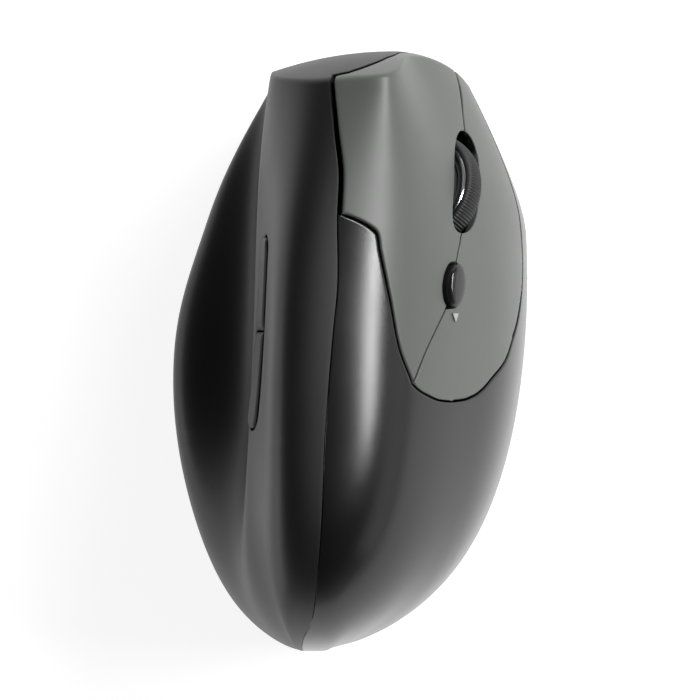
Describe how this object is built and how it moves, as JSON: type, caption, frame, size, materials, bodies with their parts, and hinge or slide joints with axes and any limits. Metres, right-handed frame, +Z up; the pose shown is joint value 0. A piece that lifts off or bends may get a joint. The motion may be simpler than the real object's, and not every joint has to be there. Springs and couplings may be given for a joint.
{
  "type": "computer mouse",
  "caption": "Upright right-handed cordless computer mouse with thumb rest, hinged finger buttons, ribbed scroll wheel and thumb buttons.",
  "frame": {"origin": "centre of the footprint's bounding box, on the desk plane under the glide feet", "axes": "+X towards the finger side, +Y towards the front edge, +Z up from the desk"},
  "size_m": [0.071, 0.1173, 0.0669],
  "materials": {
    "shell_soft": "soft-touch matte black",
    "shell_satin": "satin black",
    "cap_grey": "satin grey",
    "gloss_black": "gloss black",
    "thumb_key": "satin black",
    "base_black": "fine texture",
    "glide": "low-friction pad",
    "tyre_rubber": "ribbed",
    "bright_ring": "polished",
    "hub_grey": "satin",
    "frame_plastic": "moulded",
    "board_green": "solder mask",
    "switch_black": "moulded",
    "plunger_red": "moulded",
    "lens_pale": "pale",
    "sensor_clear": "clear optic",
    "led_red": "moulded",
    "cell_wrap": "printed wrap",
    "steel": "plain",
    "knob_white": "moulded",
    "ribbon_white": "flat cable",
    "encoder_ivory": "moulded"
  },
  "bodies": {
    "case": {"base_plate": "base_black", "front_glide": "glide", "left_glide": "glide", "right_glide": "glide", "thumb_cover": "shell_soft", "palm_cover": "shell_satin", "indicator_lens": "lens_pale", "carrier_spring": "steel", "encoder_body": "encoder_ivory", "inner_frame": "frame_plastic", "pivot_pin": "steel", "upper_board": "board_green", "left_switch": "switch_black", "right_switch": "switch_black", "wheel_switch": "switch_black", "dpi_switch": "switch_black", "thumb_board": "board_green", "forward_switch": "switch_black", "back_switch": "switch_black", "main_board": "board_green", "main_chips": "switch_black", "sensor_chip": "switch_black", "sensor_lens": "sensor_clear", "led_source": "led_red", "battery_a": "cell_wrap", "battery_b": "cell_wrap", "battery_contacts": "steel", "board_ribbon": "ribbon_white", "power_body": "steel", "case_screws": "steel", "board_screws": "steel"},
    "left_button": {"left_cap": "cap_grey", "left_lever": "frame_plastic"},
    "right_button": {"right_cap": "cap_grey", "right_lever": "frame_plastic"},
    "left_switch_plunger": {"left_plunger": "plunger_red"},
    "right_switch_plunger": {"right_plunger": "plunger_red"},
    "resolution_button": {"dpi_button": "gloss_black"},
    "thumb_forward": {"forward_button": "thumb_key"},
    "thumb_back": {"back_button": "thumb_key"},
    "carrier": {"wheel_carrier": "frame_plastic"},
    "wheel": {"wheel_tyre": "tyre_rubber", "wheel_ring": "bright_ring", "wheel_hub": "hub_grey"},
    "middle_plunger": {"wheel_plunger": "knob_white"},
    "door": {"battery_door": "base_black"},
    "receiver": {"usb_receiver": "steel"},
    "switch_knob": {"power_knob": "knob_white"}
  },
  "joints": [
    {"name": "left_button_press", "type": "hinge", "parent": "case", "child": "left_button", "pos_m": [0.01527, -0.01175, 0.0371], "axis": [-0.5, 0, 0.866], "range_deg": [0, 0.25], "stiffness_Nm_per_rad": 12},
    {"name": "right_button_press", "type": "hinge", "parent": "case", "child": "right_button", "pos_m": [0.01527, -0.01175, 0.0371], "axis": [-0.5, 0, 0.866], "range_deg": [0, 0.25], "stiffness_Nm_per_rad": 12},
    {"name": "left_plunger_press", "type": "slide", "parent": "case", "child": "left_switch_plunger", "axis": [-0.866, 0, -0.5], "range_m": [0, 0.0007]},
    {"name": "right_plunger_press", "type": "slide", "parent": "case", "child": "right_switch_plunger", "axis": [-0.866, 0, -0.5], "range_m": [0, 0.0007]},
    {"name": "resolution_press", "type": "slide", "parent": "case", "child": "resolution_button", "axis": [-0.829, 0, -0.5592], "range_m": [0, 0.0006], "stiffness_N_per_m": 800},
    {"name": "thumb_forward_press", "type": "slide", "parent": "case", "child": "thumb_forward", "axis": [0.9744, 0, -0.225], "range_m": [0, 0.0008], "stiffness_N_per_m": 800},
    {"name": "thumb_back_press", "type": "slide", "parent": "case", "child": "thumb_back", "axis": [0.9744, 0, -0.225], "range_m": [0, 0.0008], "stiffness_N_per_m": 800},
    {"name": "wheel_press", "type": "slide", "parent": "case", "child": "carrier", "axis": [-0.866, 0, -0.5], "range_m": [0, 0.0006], "stiffness_N_per_m": 1500},
    {"name": "wheel_spin", "type": "hinge", "parent": "carrier", "child": "wheel", "pos_m": [0.01394, 0.03116, 0.03701], "axis": [0.4686, -0.3486, -0.8117], "continuous": true},
    {"name": "middle_plunger_press", "type": "slide", "parent": "case", "child": "middle_plunger", "axis": [-0.866, 0, -0.5], "range_m": [0, 0.0006]},
    {"name": "battery_door_slide", "type": "slide", "parent": "case", "child": "door", "axis": [0, -1, 0], "range_m": [0, 0.02]},
    {"name": "receiver_slide", "type": "slide", "parent": "case", "child": "receiver", "axis": [0, -1, 0], "range_m": [0, 0.0028]},
    {"name": "power_switch_slide", "type": "slide", "parent": "case", "child": "switch_knob", "axis": [1, 0, 0], "range_m": [0, 0.0026]}
  ],
  "couplings": [
    {"joint": "left_plunger_press", "follows": "left_button_press", "m_per_rad": 0.0465},
    {"joint": "right_plunger_press", "follows": "right_button_press", "m_per_rad": 0.0465},
    {"joint": "middle_plunger_press", "follows": "wheel_press", "ratio": 1}
  ]
}
